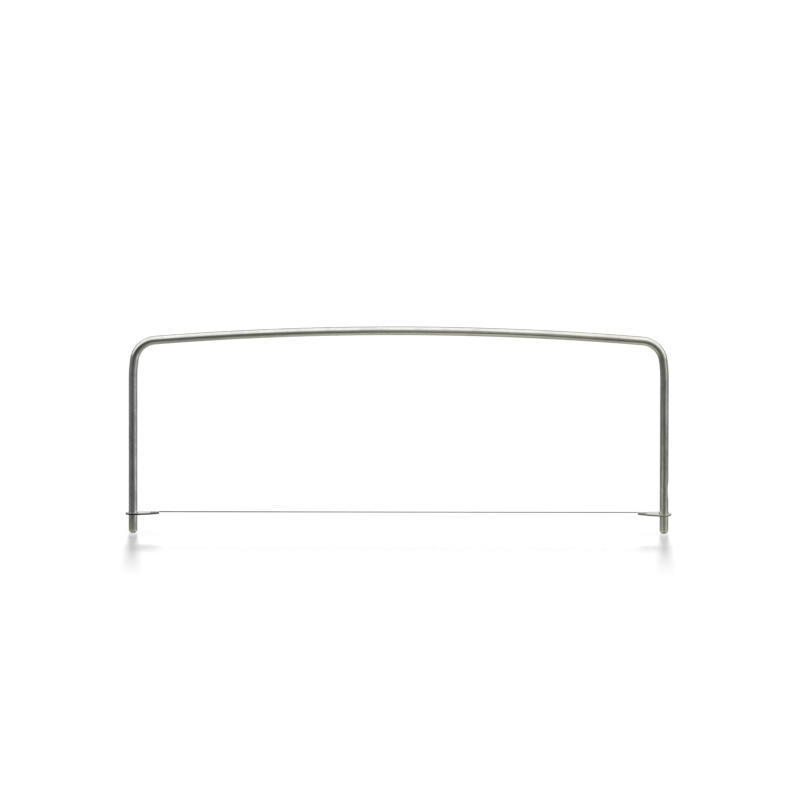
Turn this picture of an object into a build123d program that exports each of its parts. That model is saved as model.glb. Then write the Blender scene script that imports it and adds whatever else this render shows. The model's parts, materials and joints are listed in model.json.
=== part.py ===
"""Cake leveler: a sprung rod frame with a cutting wire stretched between its two legs.

The frame is one bent steel rod. Its legs stand on their rounded ends, and its top
is a long shallow bow. The wire is held by two flat end plates, one threaded on each
leg. The plates slide up and down to set the height of the cut, and the spring of
the frame pulls the wire taut and jams them where they are left.

X runs along the wire, Y from front to back and Z up. The origin lies midway between
the feet, on the surface that they stand on. All sizes are in millimetres.
"""

import os
from math import asin, cos, degrees, radians, sin, sqrt, tan

from build123d import *

# Frame rod
leg_spacing = 305.0
frame_height = 120.5
rod_diameter = 5.0
bow_radius = 1720.0
corner_radius = 13.0
lead_in_radius = 80.0
lead_in_turn = 8.0
foot_round = 1.8

# Shallow dip on the outer side of the right leg
dip_height = 25.0
dip_length = 11.0
dip_depth = 0.4

# Cutting wire
wire_diameter = 0.55
wire_height = 12.15
wire_bend_radius = 0.6
wire_tail_length = 4.0

# End plates, both stamped to one outline
plate_thickness = 0.9
plate_ring_radius = 4.5
plate_reach = 14.8
plate_tip_radius = 1.3
plate_flank_radius = 30.0
plate_top_chamfer = 0.15
plate_bottom_chamfer = 0.08
wire_hole_diameter = 1.0
wire_hole_setback = 4.9

# How the plates hang on the legs, in degrees: tips up, and each one leaning to the front
plate_tilt = 0.7
left_plate_lean = -1.6
right_plate_lean = 3.6

# Fits
leg_clearance = 0.25
bearing_gap = 0.05
seat_gap = 0.02

rod_radius = rod_diameter / 2
leg_x = leg_spacing / 2
wire_radius = wire_diameter / 2

# Each corner is two arcs, a wide lead-in and the tight bend, and both touch the bow's arc
lead_turn = radians(lead_in_turn)
corner_centre_x = leg_x - lead_in_radius + (lead_in_radius - corner_radius) * cos(lead_turn)
bow_slope = asin(corner_centre_x / (bow_radius - corner_radius))
bow_centre_z = frame_height - rod_radius - bow_radius
corner_centre_z = bow_centre_z + (bow_radius - corner_radius) * cos(bow_slope)
lead_in_start_z = corner_centre_z - (lead_in_radius - corner_radius) * sin(lead_turn)
corner_turn = 90 - lead_in_turn - degrees(bow_slope)

# The dip's arc from its length and depth
dip_radius = ((dip_length / 2) ** 2 + dip_depth**2) / (2 * dip_depth)

# The wire rests on the tips of the plates, so their place follows from its height
tilt = radians(plate_tilt)
tip_top_z = wire_height - wire_radius - seat_gap
ring_x = leg_x - leg_clearance + bearing_gap
ring_top_z = tip_top_z - plate_reach * sin(tilt)
wire_hole_reach = plate_reach - wire_hole_setback
wire_hole_x = ring_x - wire_hole_reach * cos(tilt)
wire_hole_top_z = ring_top_z + wire_hole_reach * sin(tilt)
tail_line_z = wire_hole_top_z - (plate_thickness + seat_gap + wire_radius) / cos(tilt)


def make_frame_rod():
    """Bent rod of the frame: leg, corner, bow, corner and leg in one sweep."""
    with BuildPart() as frame_rod:
        with BuildLine(Plane.XZ):
            left_leg = Line((-leg_x, 0), (-leg_x, lead_in_start_z))
            left_lead_in = JernArc(left_leg @ 1, left_leg % 1, lead_in_radius, -lead_in_turn)
            left_corner = JernArc(left_lead_in @ 1, left_lead_in % 1, corner_radius, -corner_turn)
            bow = JernArc(left_corner @ 1, left_corner % 1, bow_radius, -2 * degrees(bow_slope))
            right_corner = JernArc(bow @ 1, bow % 1, corner_radius, -corner_turn)
            right_lead_in = JernArc(right_corner @ 1, right_corner % 1, lead_in_radius, -lead_in_turn)
            Line(right_lead_in @ 1, (leg_x, 0))
        with BuildSketch(Plane.XY):
            with Locations((-leg_x, 0)):
                Circle(rod_radius)
        sweep()
        # The feet are rounded over, with a small flat left to stand on
        fillet(frame_rod.edges().group_by(Axis.Z)[0], foot_round)
        # A wide cutter scoops the dip out of the right leg
        with BuildSketch(Plane.XZ):
            with Locations((leg_x + rod_radius - dip_depth + dip_radius, dip_height)):
                Circle(dip_radius)
        extrude(amount=rod_radius, both=True, mode=Mode.SUBTRACT)
    frame_rod.part.label = "frame_rod"
    return frame_rod.part


def make_cutting_wire():
    """Taut wire whose ends go down through the plate tips and fold back beneath them."""
    down_to = tail_line_z + wire_bend_radius * tan((radians(90) - tilt) / 2)
    with BuildPart() as cutting_wire:
        with BuildLine(Plane.XZ) as route:
            blade = Line((wire_hole_x - wire_bend_radius, wire_height),
                         (-wire_hole_x + wire_bend_radius, wire_height))
            entry = JernArc(blade @ 1, blade % 1, wire_bend_radius, 90)
            shank = Line(entry @ 1, (-wire_hole_x, down_to))
            fold = JernArc(shank @ 1, shank % 1, wire_bend_radius, plate_tilt - 90)
            PolarLine(fold @ 1, wire_tail_length, direction=fold % 1)
            mirror(about=Plane.YZ)
        tail_end = route.vertices().sort_by(Axis.X)[0]
        with BuildSketch(Plane(origin=tail_end, z_dir=(cos(tilt), 0, sin(tilt)))):
            Circle(wire_radius)
        sweep()
    cutting_wire.part.label = "cutting_wire"
    return cutting_wire.part


def plate_top_plane(side, lean):
    """Top face of a plate, centred on its ring, with X towards the wire.

    The side is -1 on the left leg and 1 on the right. A positive lean turns the
    top face to the front.
    """
    to_tip = Vector(-side * cos(tilt), 0, sin(tilt))
    upright = Vector(side * sin(tilt), 0, cos(tilt))
    normal = upright * cos(radians(lean)) + Vector(0, -1, 0) * sin(radians(lean))
    return Plane(origin=(side * ring_x, 0, ring_top_z), x_dir=to_tip, z_dir=normal)


def make_end_plate(name, side, lean):
    """Stamped plate: a ring round the leg that narrows to a blunt tip for the wire."""
    top = plate_top_plane(side, lean)
    # Each flank is a wide arc, tangent to the ring's circle and to the tip's
    tip_centre = Vector(plate_reach - plate_tip_radius, 0)
    to_ring = plate_flank_radius - plate_ring_radius
    to_tip = plate_flank_radius - plate_tip_radius
    flank_x = (to_ring**2 - to_tip**2 + tip_centre.X**2) / (2 * tip_centre.X)
    flank_centre = Vector(flank_x, -sqrt(to_ring**2 - flank_x**2))
    ring_touch = flank_centre * (-plate_ring_radius / to_ring)
    tip_touch = tip_centre + (tip_centre - flank_centre) * (plate_tip_radius / to_tip)
    with BuildPart() as plate:
        with BuildSketch(top):
            with BuildLine():
                ThreePointArc(ring_touch, (-plate_ring_radius, 0), (ring_touch.X, -ring_touch.Y))
                ThreePointArc(tip_touch, (plate_reach, 0), (tip_touch.X, -tip_touch.Y))
                RadiusArc(ring_touch, tip_touch, plate_flank_radius)
                RadiusArc((tip_touch.X, -tip_touch.Y), (ring_touch.X, -ring_touch.Y), plate_flank_radius)
            make_face()
            Circle(rod_radius + leg_clearance, mode=Mode.SUBTRACT)
            with Locations((wire_hole_reach, 0)):
                Circle(wire_hole_diameter / 2, mode=Mode.SUBTRACT)
        extrude(amount=-plate_thickness)
        # The punch rolls the upper edges over and leaves the lower ones nearly sharp
        layers = plate.edges().group_by(Axis(top.origin, top.z_dir))
        chamfer(layers[-1], plate_top_chamfer)
        chamfer(layers[0], plate_bottom_chamfer)
    plate.part.label = name
    return plate.part


pieces = [
    make_frame_rod(),
    make_cutting_wire(),
    make_end_plate("left_end_plate", -1, left_plate_lean),
    make_end_plate("right_end_plate", 1, right_plate_lean),
]

os.makedirs("parts", exist_ok=True)
for piece in pieces:
    export_step(piece, f"parts/{piece.label}.step")

print(f"legs run straight up to {lead_in_start_z:.2f} mm")
print(f"wire is {2 * wire_hole_x:.2f} mm long between its holes")
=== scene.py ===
"""Looks of the cake leveler: polished steel in a white studio, seen as in the photograph.

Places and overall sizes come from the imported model, and the rod and the plates are drawn
again from its driving sizes. Lengths are in metres.
"""

import json
from math import asin, atan2, cos, pi, radians, sin, sqrt

import bmesh
import bpy
from mathutils import Matrix, Vector


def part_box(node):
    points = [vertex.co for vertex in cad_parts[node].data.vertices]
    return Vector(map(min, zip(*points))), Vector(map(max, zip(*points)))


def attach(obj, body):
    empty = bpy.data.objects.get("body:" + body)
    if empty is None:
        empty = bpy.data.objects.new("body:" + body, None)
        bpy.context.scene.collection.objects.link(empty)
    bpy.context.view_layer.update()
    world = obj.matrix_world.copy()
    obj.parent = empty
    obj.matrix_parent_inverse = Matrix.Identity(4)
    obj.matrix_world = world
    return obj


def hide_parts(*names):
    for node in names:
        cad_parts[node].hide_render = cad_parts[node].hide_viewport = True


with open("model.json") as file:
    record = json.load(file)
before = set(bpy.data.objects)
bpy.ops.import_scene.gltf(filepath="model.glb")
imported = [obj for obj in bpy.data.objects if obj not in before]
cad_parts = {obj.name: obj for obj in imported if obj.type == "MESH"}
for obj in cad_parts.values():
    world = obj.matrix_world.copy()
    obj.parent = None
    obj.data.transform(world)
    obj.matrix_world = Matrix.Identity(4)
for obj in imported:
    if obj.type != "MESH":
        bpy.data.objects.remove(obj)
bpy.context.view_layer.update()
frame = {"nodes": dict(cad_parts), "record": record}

MM = 0.001

# The frame rod, as it is in the model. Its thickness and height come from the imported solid
LEG_X = -next(m["pos_m"][0] for m in frame["record"]["mounts"] if m["name"] == "left_foot")
BOW_RADIUS = 1720 * MM
CORNER_RADIUS = 13 * MM
LEAD_IN_RADIUS = 80 * MM
LEAD_IN_TURN = radians(8)
FOOT_ROUND = 1.8 * MM
DIP_HEIGHT = 25 * MM
DIP_LENGTH = 11 * MM
DIP_DEPTH = 0.4 * MM

# The end plates, as they are in the model, but with their edges rolled over in a round
PLATE_THICKNESS = 0.9 * MM
PLATE_RING_RADIUS = 4.5 * MM
PLATE_REACH = 14.8 * MM
PLATE_TIP_RADIUS = 1.3 * MM
PLATE_FLANK_RADIUS = 30 * MM
PLATE_LEG_HOLE_RADIUS = 2.75 * MM
PLATE_WIRE_HOLE_RADIUS = 0.5 * MM
PLATE_WIRE_HOLE_SETBACK = 4.9 * MM
PLATE_TOP_ROUND = 0.2 * MM
PLATE_BOTTOM_ROUND = 0.08 * MM
PLATE_RIM_WIDTH = 1.25 * MM
PLATE_RIM_DROP = 0.03 * MM
PLATE_TILT = radians(0.7)
LEFT_PLATE_LEAN = radians(-1.6)
RIGHT_PLATE_LEAN = radians(3.6)

# The wire rests on the tips, and pulls the middle of each ring a little inwards from its leg's
WIRE_DIAMETER = 0.55 * MM
WIRE_SEAT_GAP = 0.02 * MM
RING_CENTRE_INSET = 0.2 * MM

# How finely the curved pieces are drawn
ROD_SIDES = 72
LEG_RING_PITCH = 0.5 * MM
BEND_RING_PITCH = 0.6 * MM
BOW_RING_PITCH = 4 * MM
FOOT_RINGS = 10
PLATE_ARC_PITCH = 0.3 * MM
ROUND_STEPS = 5
RIM_STEPS = 4

# The photograph: its size in pixels, the real size of one at the object, the column midway between
# the legs and the row of the surface that they stand on. Then the camera that took it
PICTURE_SIZE = 800
PIXEL = 0.574 * MM
OBJECT_CENTRE_PX = 398.72
FOOT_LEVEL_PX = 532.98
CAMERA_ELEVATION = radians(10.5)
CAMERA_DISTANCE = 15.0
CAMERA_ROLL = radians(0.1)

# Tones of the steel: the rod's left and right side and its dull spots, the dark and the bright
# strokes of the brushing on the plates, and the wire where it is bright, where it is darkest, and
# where it lies on the plates, there a painted highlight
ROD_COOL = (0.66, 0.66, 0.655, 1)
ROD_WARM = (0.64, 0.64, 0.58, 1)
ROD_DULL = (0.36, 0.36, 0.345, 1)
BRUSHED_DARK = (0.66, 0.66, 0.64, 1)
BRUSHED_BRIGHT = (0.76, 0.76, 0.74, 1)
WIRE_BRIGHT = (0.27, 0.27, 0.265, 1)
WIRE_DARK = (0.008, 0.008, 0.007, 1)
WIRE_PAINTED_HIGHLIGHT = (0.62, 0.62, 0.60, 1)

# Most values of a noise lie between these two
NOISE_RANGE = (0.25, 0.75)

# How bright the steel of each plate is on the face of its tip, then on the rim at the tip and
# round the ring, and last on the sheared edge at the tip and round the ring. These tones are
# painted shade, most on the left plate, and a painted highlight on the rim round the right
# plate's ring; the sheared edge is also duller steel
LEFT_PLATE_PAINTED_LIGHT = (0.46, 0.12, 0.10, 0.17, 0.03)
RIGHT_PLATE_PAINTED_LIGHT = (0.66, 0.24, 0.62, 0.17, 0.24)

# The studio that the steel mirrors, round the horizon: degrees from the camera towards the
# right, brightness, and how much of its blue is left
HORIZON = [
    (-180, 0.42, 0.97),
    (-130, 0.30, 0.97),
    (-78, 0.23, 0.98),
    (-45, 0.16, 0.98),
    (-18, 0.15, 0.95),
    (8, 0.15, 0.92),
    (36, 0.34, 0.97),
    (62, 0.80, 1.0),
    (96, 0.36, 1.0),
    (130, 0.40, 0.97),
    (180, 0.42, 0.97),
]

# What is overhead and beneath, and the angles from the horizon between which each fades in
OVERHEAD_LEVEL = 1.56
OVERHEAD_COLOUR = (1.0, 1.0, 0.99, 1.0)
OVERHEAD_FADE = (radians(8), radians(72))
BENEATH_LEVEL = 0.52
BENEATH_COLOUR = (1.0, 1.0, 0.87, 1.0)
BENEATH_FADE = (radians(21), radians(60))

# Soft round patches of the studio: azimuth and elevation of the centre, radius that is filled,
# radius where it ends, all in degrees, and brightness. A bright panel on each side, a dark
# corner, and a grey and a white part of the backdrop
STUDIO_PATCHES = [
    (-88, 29, 16, 27, 1.5),
    (84, 26, 18, 28, 1.5),
    (-20, 7, 6, 19, 0.03),
    (180, 33, 12, 26, 0.3),
    (180, 13, 6, 13, 0.95),
]

# A table that only the steel mirrors. It lies a little lower than the feet
TABLE_SIZE = 1.2
TABLE_DROP = 1 * MM

# Soft pools of light on the table: centre, half sizes, brightness and how much of their blue is
# left
TABLE_POOLS = [
    ((0.06, -0.05), (0.20, 0.20), 0.09, 0.80),
    ((0.06, -0.11), (0.13, 0.13), 0.19, 0.78),
    ((-LEG_X - 0.012, -0.015), (0.05, 0.05), 0.17, 0.66),
    ((LEG_X, -0.005), (0.055, 0.055), 0.18, 0.56),
    ((-LEG_X, -0.001), (0.012, 0.012), 0.20, 0.70),
    ((LEG_X, -0.001), (0.012, 0.012), 0.25, 0.70),
]

# Soft shades on it: centre, half sizes and how much they cover. Under and behind each foot, two
# to the right of the left leg, far and near, one to the right of the frame, one in front of each
# leg, and one that the right end of the bow mirrors
TABLE_SHADES = [
    ((-LEG_X, 0.0), (0.005, 0.005), 1.4),
    ((LEG_X, 0.0), (0.005, 0.005), 1.4),
    ((-LEG_X, 0.03), (0.03, 0.03), 0.7),
    ((LEG_X, 0.03), (0.03, 0.03), 0.7),
    ((-0.06, -0.10), (0.10, 0.10), 0.5),
    ((-0.125, -0.02), (0.03, 0.03), 0.4),
    ((0.36, -0.11), (0.22, 0.20), 0.55),
    ((-0.13, -0.21), (0.09, 0.08), 0.3),
    ((0.145, -0.21), (0.07, 0.08), 0.3),
    ((0.12, -0.12), (0.06, 0.075), 0.65),
]

# Soft glows in the air, which only the steel mirrors: centre, rotation in degrees, half sizes,
# brightness and how much of their blue is left. One is far in front of the bow, one is close to
# the right leg at its front left, and one is just beneath the left of the bow
GLOWS = [
    ((0.06, -0.6, 0.15), (90, 0, 0), (0.21, 0.20), 0.42, 0.80),
    ((LEG_X - 0.021, -0.022, 0.01), (90, 0, -44), (0.028, 0.10), 0.24, 0.90),
    ((-0.045, -0.008, 0.103), (0, 0, 0), (0.08, 0.016), 0.20, 0.62),
]

# The floor glows white, apart from where it shows the shadows. There it is matt, and lit by the
# white room and by a low light from behind
FLOOR_SIZE = 16
FLOOR_DROP = 0.02 * MM
FLOOR_GLOW = 1.02
FLOOR_GREY = 0.59
BACK_LIGHT_ELEVATION = radians(13.3)
BACK_LIGHT_ANGLE = radians(7)
BACK_LIGHT_STRENGTH = 10.5

# Where the shadows show, as distances along Y, and how much they show at the feet and on the right
SHADOW_IS_FULL = -0.018
SHADOW_STARTS_TO_FADE = -0.05
SHADOW_IS_GONE = -0.165
SHADOW_AT_FEET = 0.42
SHADOW_ON_RIGHT = 0.86


def add_object(name, mesh):
    piece = bpy.data.objects.new(name, mesh)
    bpy.context.scene.collection.objects.link(piece)
    return piece


def add_node(tree, kind, inputs, **settings):
    """Adds a shader node. Each input takes a value, or the output socket to link it to."""
    node = tree.nodes.new("ShaderNode" + kind)
    for name, value in settings.items():
        setattr(node, name, value)
    for name, value in inputs.items():
        if isinstance(value, bpy.types.NodeSocket):
            tree.links.new(value, node.inputs[name])
        else:
            node.inputs[name].default_value = value
    return node


def new_material(name):
    """Material without a shader, and its node tree."""
    material = bpy.data.materials.new(name)
    material.use_nodes = True
    tree = material.node_tree
    tree.nodes.remove(tree.nodes["Principled BSDF"])
    return material, tree


def show(tree, shader):
    """Links a shader node to the output of its material or world."""
    output = next(node for node in tree.nodes if node.type.startswith("OUTPUT"))
    tree.links.new(shader.outputs[0], output.inputs["Surface"])


def scaled_noise(tree, coordinates, scale, detail=2.0, roughness=0.5):
    """Noise from 0 to 1, with a scale for each direction in features per metre."""
    placed = add_node(tree, "Mapping", {"Vector": coordinates, "Scale": scale})
    settings = {"Vector": placed.outputs[0], "Scale": 1.0, "Detail": detail, "Roughness": roughness}
    return add_node(tree, "TexNoise", settings).outputs[0]


def ranged(tree, value, low, high, to_low=0.0, to_high=1.0, smooth=False):
    """The value moved from one range to another."""
    inputs = {"Value": value, "From Min": low, "From Max": high, "To Min": to_low, "To Max": to_high}
    kind = "SMOOTHSTEP" if smooth else "LINEAR"
    return add_node(tree, "MapRange", inputs, interpolation_type=kind).outputs[0]


def math_node(tree, operation, *values):
    inputs = {number: value for number, value in enumerate(values)}
    return add_node(tree, "Math", inputs, operation=operation).outputs[0]


def mixed_value(tree, factor, first, second):
    return add_node(tree, "Mix", {0: factor, 2: first, 3: second}).outputs[0]


def mixed_colour(tree, factor, first, second):
    inputs = {"Factor": factor, 6: first, 7: second}
    return add_node(tree, "Mix", inputs, data_type="RGBA").outputs[2]


def trace_path(start, heading, moves):
    """Stations along a path in the XZ plane, as (x, z, heading, distance).

    Each move is (length, turn, pitch): a straight run has no turn, and a bend turns left by it.
    """
    x, z = start
    distance = 0.0
    stations = [(x, z, heading, distance)]
    for length, turn, pitch in moves:
        steps = max(1, round(length / pitch))
        step = length / steps
        half_turn = turn / steps / 2
        chord = step if turn == 0 else step * sin(half_turn) / half_turn
        for _ in range(steps):
            heading += half_turn
            x += chord * cos(heading)
            z += chord * sin(heading)
            heading += half_turn
            distance += step
            stations.append((x, z, heading, distance))
    return stations


def tube_mesh(name, stations, radii, sides, reshape):
    """Closed tube along stations in the XZ plane.

    The attribute grain is (across, across, along) in metres, for patterns that run with the metal.
    """
    shape = bmesh.new()
    grain = shape.verts.layers.float_vector.new("grain")
    rings = []
    for (x, z, heading, distance), radius in zip(stations, radii):
        outward = Vector((-sin(heading), 0, cos(heading)))
        ring = []
        for k in range(sides):
            angle = 2 * pi * k / sides
            side = outward * cos(angle) + Vector((0, 1, 0)) * sin(angle)
            vertex = shape.verts.new(reshape(Vector((x, 0, z)) + side * radius))
            vertex[grain] = Vector((cos(angle) * radius, sin(angle) * radius, distance))
            ring.append(vertex)
        rings.append(ring)
    for ring, following in zip(rings, rings[1:]):
        for k in range(sides):
            after = (k + 1) % sides
            shape.faces.new((ring[k], ring[after], following[after], following[k]))
    shape.faces.new(reversed(rings[0]))
    shape.faces.new(rings[-1])
    bmesh.ops.recalc_face_normals(shape, faces=shape.faces)
    for face in shape.faces:
        face.smooth = len(face.verts) == 4
    mesh = bpy.data.meshes.new(name)
    shape.to_mesh(mesh)
    shape.free()
    return mesh


def scoop_dip(place, rod_radius):
    """Presses in what would stand inside the cutter of the dip."""
    dip_radius = ((DIP_LENGTH / 2) ** 2 + DIP_DEPTH**2) / (2 * DIP_DEPTH)
    dip_centre_x = LEG_X + rod_radius - DIP_DEPTH + dip_radius
    rise = place.z - DIP_HEIGHT
    if place.x > LEG_X and abs(rise) < DIP_LENGTH / 2:
        place.x = min(place.x, dip_centre_x - sqrt(dip_radius**2 - rise**2))
    return place


def make_frame_rod():
    """The bent rod, drawn finer than its solid: rounded feet, legs, two-arc corners and the bow."""
    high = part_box("frame_rod")[1]
    rod_radius = high.x - LEG_X
    corner_centre_x = LEG_X - LEAD_IN_RADIUS + (LEAD_IN_RADIUS - CORNER_RADIUS) * cos(LEAD_IN_TURN)
    bow_slope = asin(corner_centre_x / (BOW_RADIUS - CORNER_RADIUS))
    bow_centre_z = high.z - rod_radius - BOW_RADIUS
    corner_centre_z = bow_centre_z + (BOW_RADIUS - CORNER_RADIUS) * cos(bow_slope)
    lead_in_start_z = corner_centre_z - (LEAD_IN_RADIUS - CORNER_RADIUS) * sin(LEAD_IN_TURN)
    corner_turn = pi / 2 - LEAD_IN_TURN - bow_slope
    leg = (lead_in_start_z - FOOT_ROUND, 0, LEG_RING_PITCH)
    lead_in = (LEAD_IN_RADIUS * LEAD_IN_TURN, -LEAD_IN_TURN, BEND_RING_PITCH)
    corner = (CORNER_RADIUS * corner_turn, -corner_turn, BEND_RING_PITCH)
    bow = (BOW_RADIUS * 2 * bow_slope, -2 * bow_slope, BOW_RING_PITCH)
    moves = [leg, lead_in, corner, bow, corner, lead_in, leg]
    middle = trace_path((-LEG_X, FOOT_ROUND), pi / 2, moves)
    length = middle[-1][3]

    # The feet are quarter rounds with a small flat left to stand on
    left_foot = []
    right_foot = []
    foot_radii = []
    for k in range(FOOT_RINGS):
        angle = pi / 2 * k / FOOT_RINGS
        rise = FOOT_ROUND * (1 - cos(angle))
        left_foot.append((-LEG_X, rise, pi / 2, rise - FOOT_ROUND))
        right_foot.insert(0, (LEG_X, rise, -pi / 2, length + FOOT_ROUND - rise))
        foot_radii.append(rod_radius - FOOT_ROUND + FOOT_ROUND * sin(angle))
    stations = left_foot + middle + right_foot
    radii = foot_radii + [rod_radius] * len(middle) + foot_radii[::-1]
    mesh = tube_mesh("frame_rod_steel", stations, radii, ROD_SIDES, lambda p: scoop_dip(p, rod_radius))
    rod = add_object("frame_rod_steel", mesh)
    rod.data.materials.append(make_rod_steel())
    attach(rod, "frame")
    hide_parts("frame_rod")


def arc_points(centre, radius, start, turn):
    """Points and outward normals along an arc, without its last point."""
    steps = max(2, round(abs(turn) * radius / PLATE_ARC_PITCH))
    found = []
    for k in range(steps):
        angle = start + turn * k / steps
        outward = Vector((cos(angle), sin(angle)))
        found.append((Vector(centre) + outward * radius, outward))
    return found


def plate_outline():
    """Leaf shape round the ring and the tip, with each flank an arc tangent to both."""
    tip_x = PLATE_REACH - PLATE_TIP_RADIUS
    to_ring = PLATE_FLANK_RADIUS - PLATE_RING_RADIUS
    to_tip = PLATE_FLANK_RADIUS - PLATE_TIP_RADIUS
    flank_x = (to_ring**2 - to_tip**2 + tip_x**2) / (2 * tip_x)
    flank_y = -sqrt(to_ring**2 - flank_x**2)
    ring_angle = atan2(-flank_y, -flank_x)
    tip_angle = atan2(-flank_y, tip_x - flank_x)
    ring = arc_points((0, 0), PLATE_RING_RADIUS, ring_angle, 2 * (pi - ring_angle))
    lower = arc_points((flank_x, -flank_y), PLATE_FLANK_RADIUS, -ring_angle, ring_angle - tip_angle)
    tip = arc_points((tip_x, 0), PLATE_TIP_RADIUS, -tip_angle, 2 * tip_angle)
    upper = arc_points((flank_x, flank_y), PLATE_FLANK_RADIUS, tip_angle, ring_angle - tip_angle)
    return ring + lower + tip + upper


def plate_edge_profile(rim_drop):
    """Steps down the edge of a plate, as (inset, depth, how far out on the rim).

    The punch has drawn the rim down a little. A round follows on top and a smaller one below.
    """
    rim = []
    top = []
    bottom = []
    rim_run = PLATE_RIM_WIDTH - PLATE_TOP_ROUND
    for k in range(RIM_STEPS if rim_drop else 0):
        share = k / RIM_STEPS
        rim.append((PLATE_RIM_WIDTH - rim_run * share, rim_drop * share**2, share))
    outermost = 1.0 if rim_drop else 0.0
    for k in range(ROUND_STEPS + 1):
        angle = pi / 2 * k / ROUND_STEPS
        depth = rim_drop + PLATE_TOP_ROUND * (1 - cos(angle))
        top.append((PLATE_TOP_ROUND * (1 - sin(angle)), depth, outermost))
        inset = PLATE_BOTTOM_ROUND * (1 - cos(angle))
        bottom.append((inset, PLATE_THICKNESS - PLATE_BOTTOM_ROUND * (1 - sin(angle)), outermost))
    return rim + top + bottom


def plate_mesh(name):
    """The stamping, flat, with its top at 0 and its ring round the origin.

    The attribute grain is the place on it in metres, and rim runs from 0 on its face to 1 outside.
    """
    shape = bmesh.new()
    grain = shape.verts.layers.float_vector.new("grain")
    rim = shape.verts.layers.float.new("rim")
    wire_hole_x = PLATE_REACH - PLATE_WIRE_HOLE_SETBACK
    leg_hole = [(p, -n) for p, n in arc_points((0, 0), PLATE_LEG_HOLE_RADIUS, 0, -2 * pi)]
    wire_hole = [(p, -n) for p, n in arc_points((wire_hole_x, 0), PLATE_WIRE_HOLE_RADIUS, 0, -2 * pi)]
    top_edges = []
    bottom_edges = []
    for outline, rim_drop in ((plate_outline(), PLATE_RIM_DROP), (leg_hole, 0), (wire_hole, 0)):
        loops = []
        for inset, depth, outermost in plate_edge_profile(rim_drop):
            loop = []
            for point, outward in outline:
                place = point - outward * inset
                vertex = shape.verts.new((place.x, place.y, -depth))
                vertex[grain] = Vector((place.x, place.y, -depth))
                vertex[rim] = outermost
                loop.append(vertex)
            loops.append(loop)
        for loop, following in zip(loops, loops[1:]):
            for k in range(len(loop)):
                after = (k + 1) % len(loop)
                shape.faces.new((loop[k], following[k], following[after], loop[after]))
        for loop, edges in ((loops[0], top_edges), (loops[-1], bottom_edges)):
            for k in range(len(loop)):
                edges.append(shape.edges.get((loop[k], loop[(k + 1) % len(loop)])))
    for edges in (top_edges, bottom_edges):
        bmesh.ops.triangle_fill(shape, use_beauty=True, edges=edges)
    bmesh.ops.recalc_face_normals(shape, faces=shape.faces)
    for face in shape.faces:
        face.smooth = True
    mesh = bpy.data.meshes.new(name)
    shape.to_mesh(mesh)
    shape.free()
    return mesh


def plate_place(side, lean):
    """Where a plate hangs on its leg: its tip up by the tilt, and leaning to the front."""
    tip_top_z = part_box("cutting_wire")[1].z - WIRE_DIAMETER - WIRE_SEAT_GAP
    ring_top = Vector((side * (LEG_X - RING_CENTRE_INSET), 0, tip_top_z - PLATE_REACH * sin(PLATE_TILT)))
    to_tip = Vector((-side * cos(PLATE_TILT), 0, sin(PLATE_TILT)))
    upright = Vector((side * sin(PLATE_TILT), 0, cos(PLATE_TILT)))
    normal = upright * cos(lean) + Vector((0, -1, 0)) * sin(lean)
    across = normal.cross(to_tip)
    turned = Matrix((to_tip, across, normal)).transposed().to_4x4()
    return Matrix.Translation(ring_top) @ turned


def make_end_plate(node, side, lean, tones):
    """Stamped plate, drawn finer than its solid, in the place where the solid hangs on its leg."""
    mesh = plate_mesh(node + "_steel")
    mesh.transform(plate_place(side, lean))
    plate = add_object(node + "_steel", mesh)
    plate.modifiers.new("even_faces", "WEIGHTED_NORMAL")
    plate.data.materials.append(make_plate_steel(node + "_steel", *tones))
    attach(plate, "wire_carriage")
    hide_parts(node)


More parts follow.
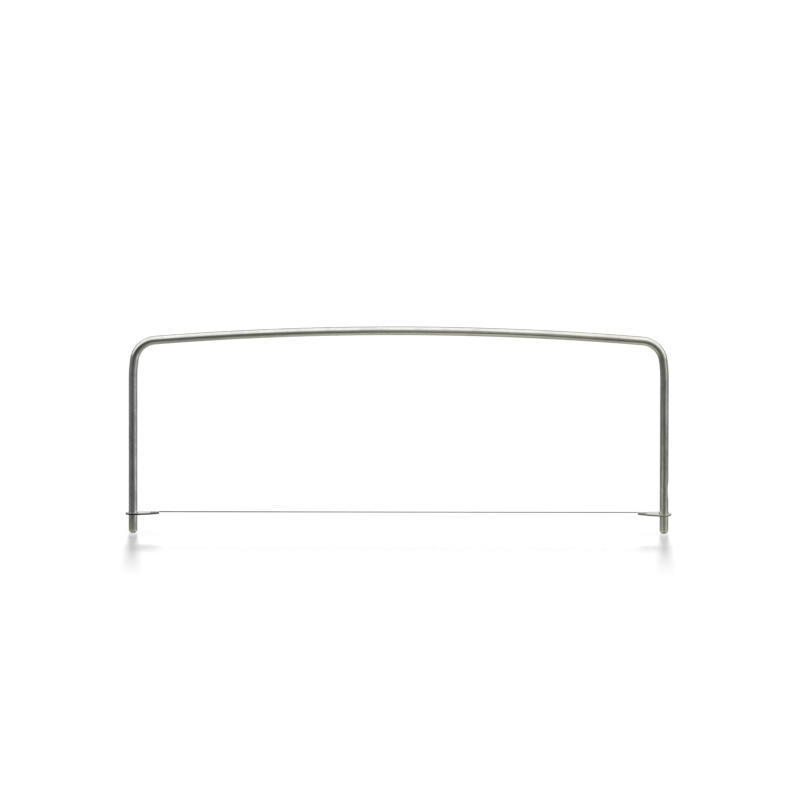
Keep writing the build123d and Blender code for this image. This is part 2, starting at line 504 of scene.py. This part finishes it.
def make_rod_steel():
    """Polished drawn rod, warmer on the right, with fine lengthwise draw marks.

    Its soft unevenness is weaker on the bow.
    """
    material, tree = new_material("drawn_rod_steel")
    grain = add_node(tree, "Attribute", {}, attribute_name="grain").outputs["Vector"]
    place = add_node(tree, "TexCoord", {}).outputs["Object"]
    split = add_node(tree, "SeparateXYZ", {"Vector": place})
    draw_marks = scaled_noise(tree, grain, (5200, 5200, 60), detail=3)
    streaks = scaled_noise(tree, grain, (1100, 1100, 30), detail=2)
    blotches = scaled_noise(tree, grain, (330, 330, 105), detail=2)
    specks = scaled_noise(tree, grain, (1500, 1500, 450), detail=1)

    warmth = ranged(tree, split.outputs["X"], -0.12, 0.15, 0.0, 0.75)
    warmth = math_node(tree, "ADD", warmth, ranged(tree, streaks, 0.3, 0.7, -0.1, 0.25))
    tone = mixed_colour(tree, warmth, ROD_COOL, ROD_WARM)
    dull = ranged(tree, blotches, 0.40, 0.66, 0.0, 0.5, smooth=True)
    dull = math_node(tree, "ADD", dull, ranged(tree, specks, 0.52, 0.68, 0.0, 0.35))
    on_bow = ranged(tree, split.outputs["Z"], 0.095, 0.115)
    evened = ranged(tree, on_bow, 0.0, 1.0, 0.12, 0.55)
    dull = mixed_value(tree, evened, dull, 0.34)
    tone = mixed_colour(tree, dull, tone, ROD_DULL)

    roughness = ranged(tree, streaks, *NOISE_RANGE, 0.09, 0.18)
    roughness = math_node(tree, "ADD", roughness, ranged(tree, draw_marks, 0.3, 0.8, 0.0, 0.07))
    scuffed_foot = ranged(tree, split.outputs["Z"], 0.0, 2.2 * MM, 0.16, 0.0, smooth=True)
    roughness = math_node(tree, "ADD", roughness, scuffed_foot)

    uneven = ranged(tree, on_bow, 0.0, 1.0, 1.0, 0.6)
    waves = add_node(tree, "Bump", {"Height": blotches, "Distance": 0.11 * MM, "Strength": uneven})
    marks = {"Height": draw_marks, "Distance": 0.0016 * MM, "Strength": 1.0, "Normal": waves.outputs[0]}
    relief = add_node(tree, "Bump", marks)
    inputs = {"Base Color": tone, "Metallic": 1.0, "Roughness": roughness, "Normal": relief.outputs[0]}
    show(tree, add_node(tree, "BsdfPrincipled", inputs))
    return material


def warm_grey(level, blue):
    return (level, level, blue * level, 1)


def make_plate_steel(name, tip_face_painted_shade, tip_rim_painted_shade, ring_rim_painted_light, tip_edge_dull_and_painted_shade, ring_edge_dull_and_painted_shade):
    """Polished sheet with lengthwise brushing. The rim and the tip carry painted shade and painted
    highlight, and the sheared edge is duller steel with painted shade on it too.
    """
    material, tree = new_material(name)
    grain = add_node(tree, "Attribute", {}, attribute_name="grain").outputs["Vector"]
    split = add_node(tree, "SeparateXYZ", {"Vector": grain})
    brushing = scaled_noise(tree, grain, (120, 6000, 6000), detail=3)
    shear_marks = scaled_noise(tree, grain, (5000, 5000, 500), detail=2)
    rim_top = -PLATE_RIM_DROP
    on_edge = ranged(tree, split.outputs["Z"], rim_top, rim_top - PLATE_TOP_ROUND * 0.7, smooth=True)
    face_brushing_and_painted_light = mixed_colour(tree, brushing, BRUSHED_DARK, BRUSHED_BRIGHT)
    on_rim = add_node(tree, "Attribute", {}, attribute_name="rim").outputs["Fac"]
    on_rim = ranged(tree, on_rim, 0.1, 0.9)
    on_tip = ranged(tree, split.outputs["X"], 0.15 * PLATE_REACH, 0.95 * PLATE_REACH)
    # Painted shade on the face of the tip
    face_brushing_and_painted_light = mixed_colour(tree, on_tip, face_brushing_and_painted_light, warm_grey(tip_face_painted_shade, 0.97))
    # Painted light on the rim: painted shade at the tip, and round the ring painted shade on the left
    # plate and a painted highlight on the right one
    rim = mixed_colour(tree, on_tip, warm_grey(ring_rim_painted_light, 0.97), warm_grey(tip_rim_painted_shade, 0.97))
    face_brushing_and_painted_light = mixed_colour(tree, on_rim, face_brushing_and_painted_light, rim)
    # The sheared edge is duller steel, with painted shade on it as well
    edge = mixed_colour(tree, on_tip, warm_grey(ring_edge_dull_and_painted_shade, 0.92), warm_grey(tip_edge_dull_and_painted_shade, 0.92))
    tone = mixed_colour(tree, on_edge, face_brushing_and_painted_light, edge)
    face_roughness = ranged(tree, brushing, *NOISE_RANGE, 0.12, 0.24)
    edge_roughness = ranged(tree, shear_marks, *NOISE_RANGE, 0.28, 0.45)
    roughness = mixed_value(tree, on_edge, face_roughness, edge_roughness)
    brushed = {"Height": brushing, "Distance": 0.001 * MM, "Strength": 1.0}
    brushed = add_node(tree, "Bump", brushed).outputs[0]
    shear = {"Height": shear_marks, "Distance": 0.006 * MM, "Strength": on_edge, "Normal": brushed}
    relief = add_node(tree, "Bump", shear)
    inputs = {"Base Color": tone, "Metallic": 1.0, "Roughness": roughness, "Normal": relief.outputs[0]}
    show(tree, add_node(tree, "BsdfPrincipled", inputs))
    return material


def make_wire_steel():
    """Hard-drawn wire, duller than the frame and darkest at its left. Where it lies on the plates it has
    a painted highlight.
    """
    material, tree = new_material("hard_drawn_wire_steel")
    place = add_node(tree, "TexCoord", {}).outputs["Object"]
    split = add_node(tree, "SeparateXYZ", {"Vector": place})
    draw_marks = scaled_noise(tree, place, (150, 12000, 12000), detail=2)
    stains = scaled_noise(tree, place, (45, 400, 400), detail=3)
    left_end = ranged(tree, split.outputs["X"], -0.15, 0.03, 0.97, 0.0, smooth=True)
    right_end = ranged(tree, split.outputs["X"], 0.07, 0.13, 0.0, 0.15, smooth=True)
    darkness = math_node(tree, "ADD", left_end, right_end)
    darkness = math_node(tree, "ADD", darkness, ranged(tree, stains, 0.3, 0.7, -0.1, 0.15))
    tip_x = LEG_X - RING_CENTRE_INSET - PLATE_REACH
    off_plates = math_node(tree, "ABSOLUTE", split.outputs["X"])
    off_plates = ranged(tree, off_plates, tip_x - 1 * MM, tip_x + 1 * MM, 1.0, 0.0, smooth=True)
    darkness = math_node(tree, "MULTIPLY", darkness, off_plates)
    tone = mixed_colour(tree, darkness, WIRE_BRIGHT, WIRE_DARK)
    # Painted highlight where the wire lies on the plates
    tone = mixed_colour(tree, off_plates, WIRE_PAINTED_HIGHLIGHT, tone)
    roughness = ranged(tree, draw_marks, *NOISE_RANGE, 0.28, 0.42)
    relief = add_node(tree, "Bump", {"Height": draw_marks, "Distance": 0.002 * MM, "Strength": 1.0})
    inputs = {"Base Color": tone, "Metallic": 1.0, "Roughness": roughness, "Normal": relief.outputs[0]}
    show(tree, add_node(tree, "BsdfPrincipled", inputs))
    return material


def add_plane(name, size, centre):
    """Level square that belongs to the studio and not to the object."""
    half = size / 2
    mesh = bpy.data.meshes.new(name)
    corners = [(-half, -half, 0), (half, -half, 0), (half, half, 0), (-half, half, 0)]
    mesh.from_pydata(corners, [], [(0, 1, 2, 3)])
    plane = add_object(name, mesh)
    plane.location = centre
    return plane


def only_mirrored(card):
    """The steel mirrors it, and nothing else sees it or is lit or shaded by it."""
    card.visible_camera = False
    card.visible_diffuse = False
    card.visible_shadow = False


def soft_spot(tree, place, centre, half_sizes, level):
    """Value that falls smoothly from the level at the centre of an ellipse to 0 at its edge."""
    inputs = {"Vector": place, "Location": (*centre, 0), "Scale": (*half_sizes, 1)}
    placed = add_node(tree, "Mapping", inputs, vector_type="TEXTURE")
    reach = add_node(tree, "VectorMath", {0: placed.outputs[0]}, operation="LENGTH")
    return ranged(tree, reach.outputs["Value"], 0.0, 1.0, level, 0.0, smooth=True)


def make_floor():
    """Plain white floor, which shows soft shadows close to the feet."""
    floor = add_plane("floor", FLOOR_SIZE, (0, 0, -FLOOR_DROP))
    floor.visible_glossy = False
    material, tree = new_material("floor_white")
    place = add_node(tree, "TexCoord", {}).outputs["Object"]
    split = add_node(tree, "SeparateXYZ", {"Vector": place})
    near = ranged(tree, split.outputs["Y"], SHADOW_IS_GONE, SHADOW_STARTS_TO_FADE, smooth=True)
    feet = ranged(tree, split.outputs["Y"], 0.0, SHADOW_IS_FULL, SHADOW_AT_FEET, 1.0, smooth=True)
    near = math_node(tree, "MULTIPLY", near, feet)
    right = ranged(tree, split.outputs["X"], -LEG_X, LEG_X, 1.0, SHADOW_ON_RIGHT)
    near = math_node(tree, "MULTIPLY", near, right)
    glow = add_node(tree, "Emission", {"Color": (1, 1, 1, 1), "Strength": FLOOR_GLOW})
    matt = add_node(tree, "BsdfDiffuse", {"Color": (FLOOR_GREY, FLOOR_GREY, FLOOR_GREY, 1)})
    show(tree, add_node(tree, "MixShader", {0: near, 1: glow.outputs[0], 2: matt.outputs[0]}))
    floor.data.materials.append(material)


def make_mirrored_table():
    """What the steel mirrors beneath it: warm pools of light and soft shades on a table."""
    table = add_plane("mirrored_table", TABLE_SIZE, (0, 0, -TABLE_DROP))
    only_mirrored(table)
    material, tree = new_material("mirrored_table_glow")
    place = add_node(tree, "TexCoord", {}).outputs["Object"]
    shader = add_node(tree, "BsdfTransparent", {})
    for centre, half_sizes, brightness, blue in TABLE_POOLS:
        level = soft_spot(tree, place, centre, half_sizes, brightness)
        pool = add_node(tree, "Emission", {"Color": (1, 1, blue, 1), "Strength": level})
        shader = add_node(tree, "AddShader", {0: pool.outputs[0], 1: shader.outputs[0]})
    black = add_node(tree, "Emission", {"Strength": 0.0})
    for centre, half_sizes, cover in TABLE_SHADES:
        shade = soft_spot(tree, place, centre, half_sizes, cover)
        shader = add_node(tree, "MixShader", {0: shade, 1: shader.outputs[0], 2: black.outputs[0]})
    show(tree, shader)
    table.data.materials.append(material)


def make_glow(centre, rotation, half_sizes, brightness, blue):
    """Soft dim light in the air, which only the steel mirrors."""
    card = add_plane("glow", 2 * max(half_sizes), centre)
    card.rotation_euler = [radians(angle) for angle in rotation]
    only_mirrored(card)
    material, tree = new_material("glow")
    place = add_node(tree, "TexCoord", {}).outputs["Object"]
    level = soft_spot(tree, place, (0, 0), half_sizes, brightness)
    glow = add_node(tree, "Emission", {"Color": (1, 1, blue, 1), "Strength": level})
    clear = add_node(tree, "BsdfTransparent", {})
    show(tree, add_node(tree, "AddShader", {0: glow.outputs[0], 1: clear.outputs[0]}))
    card.data.materials.append(material)


def make_back_light():
    """Low light from behind, which only the floor shows: it lays soft shadows towards the camera."""
    data = bpy.data.lights.new("back_light", "SUN")
    data.angle = BACK_LIGHT_ANGLE
    data.energy = BACK_LIGHT_STRENGTH
    light = add_object("back_light", data)
    light.rotation_euler = (pi / 2 - BACK_LIGHT_ELEVATION, 0, pi)
    light.visible_glossy = False


def make_world():
    """White for the camera and the floor. The steel mirrors a studio: bright above, dim in front."""
    world = bpy.data.worlds.new("studio")
    bpy.context.scene.world = world
    world.use_nodes = True
    tree = world.node_tree
    tree.nodes.remove(tree.nodes["Background"])
    direction = add_node(tree, "TexCoord", {}).outputs["Generated"]
    split = add_node(tree, "SeparateXYZ", {"Vector": direction})

    # Round the horizon, from the back over the left, the front and the right to the back again
    towards_camera = math_node(tree, "MULTIPLY", split.outputs["Y"], -1.0)
    azimuth = math_node(tree, "ARCTAN2", split.outputs["X"], towards_camera)
    turn = ranged(tree, azimuth, -pi, pi)
    ramp = add_node(tree, "ValToRGB", {"Fac": turn})
    ramp.color_ramp.interpolation = "EASE"
    elements = ramp.color_ramp.elements
    elements.remove(elements[0])
    for degrees, _, _ in HORIZON[1:]:
        elements.new((degrees + 180) / 360)
    for element, (degrees, level, blue) in zip(elements, HORIZON):
        element.position = (degrees + 180) / 360
        element.color = (level, level, level * blue, 1)
    horizon = add_node(tree, "Background", {"Color": ramp.outputs["Color"]})

    height = split.outputs["Z"]
    overhead = add_node(tree, "Background", {"Color": OVERHEAD_COLOUR, "Strength": OVERHEAD_LEVEL})
    above = ranged(tree, height, *(sin(angle) for angle in OVERHEAD_FADE), smooth=True)
    upper = add_node(tree, "MixShader", {0: above, 1: horizon.outputs[0], 2: overhead.outputs[0]})
    beneath = add_node(tree, "Background", {"Color": BENEATH_COLOUR, "Strength": BENEATH_LEVEL})
    below = ranged(tree, height, *(-sin(angle) for angle in BENEATH_FADE), smooth=True)
    studio = add_node(tree, "MixShader", {0: below, 1: upper.outputs[0], 2: beneath.outputs[0]})

    for turned, raised, filled, end, level in STUDIO_PATCHES:
        sideways = cos(radians(raised))
        x = sideways * sin(radians(turned))
        y = -sideways * cos(radians(turned))
        inputs = {0: direction, 1: (x, y, sin(radians(raised)))}
        nearness = add_node(tree, "VectorMath", inputs, operation="DOT_PRODUCT").outputs["Value"]
        cover = ranged(tree, nearness, cos(radians(end)), cos(radians(filled)), smooth=True)
        patch = add_node(tree, "Background", {"Color": (1, 1, 1, 1), "Strength": level})
        studio = add_node(tree, "MixShader", {0: cover, 1: studio.outputs[0], 2: patch.outputs[0]})

    white = add_node(tree, "Background", {"Color": (1, 1, 1, 1), "Strength": 1.0})
    rays = add_node(tree, "LightPath", {})
    inputs = {0: rays.outputs["Is Glossy Ray"], 1: white.outputs[0], 2: studio.outputs[0]}
    show(tree, add_node(tree, "MixShader", inputs))


def make_camera():
    """Long lens at the photograph's angle, so that a pixel at the object is as large as there."""
    data = bpy.data.cameras.new("camera")
    camera = add_object("camera", data)
    data.lens = data.sensor_width * CAMERA_DISTANCE / (PIXEL * PICTURE_SIZE)
    half_picture = PICTURE_SIZE / 2
    target_x = (half_picture - OBJECT_CENTRE_PX) * PIXEL
    target_z = (FOOT_LEVEL_PX - half_picture) * PIXEL / cos(CAMERA_ELEVATION)
    back = Vector((0, -cos(CAMERA_ELEVATION), sin(CAMERA_ELEVATION)))
    place = Matrix.Translation(Vector((target_x, 0, target_z)) + back * CAMERA_DISTANCE)
    facing = back.to_track_quat("Z", "Y").to_matrix().to_4x4()
    camera.matrix_world = place @ facing @ Matrix.Rotation(CAMERA_ROLL, 4, "Z")
    bpy.context.scene.camera = camera


make_frame_rod()
make_end_plate("left_end_plate", -1, LEFT_PLATE_LEAN, LEFT_PLATE_PAINTED_LIGHT)
make_end_plate("right_end_plate", 1, RIGHT_PLATE_LEAN, RIGHT_PLATE_PAINTED_LIGHT)
wire = frame["nodes"]["cutting_wire"]
wire.data.materials.clear()
wire.data.materials.append(make_wire_steel())

make_floor()
make_mirrored_table()
for glow in GLOWS:
    make_glow(*glow)
make_back_light()
make_world()
make_camera()
bpy.context.scene.view_settings.view_transform = "Standard"
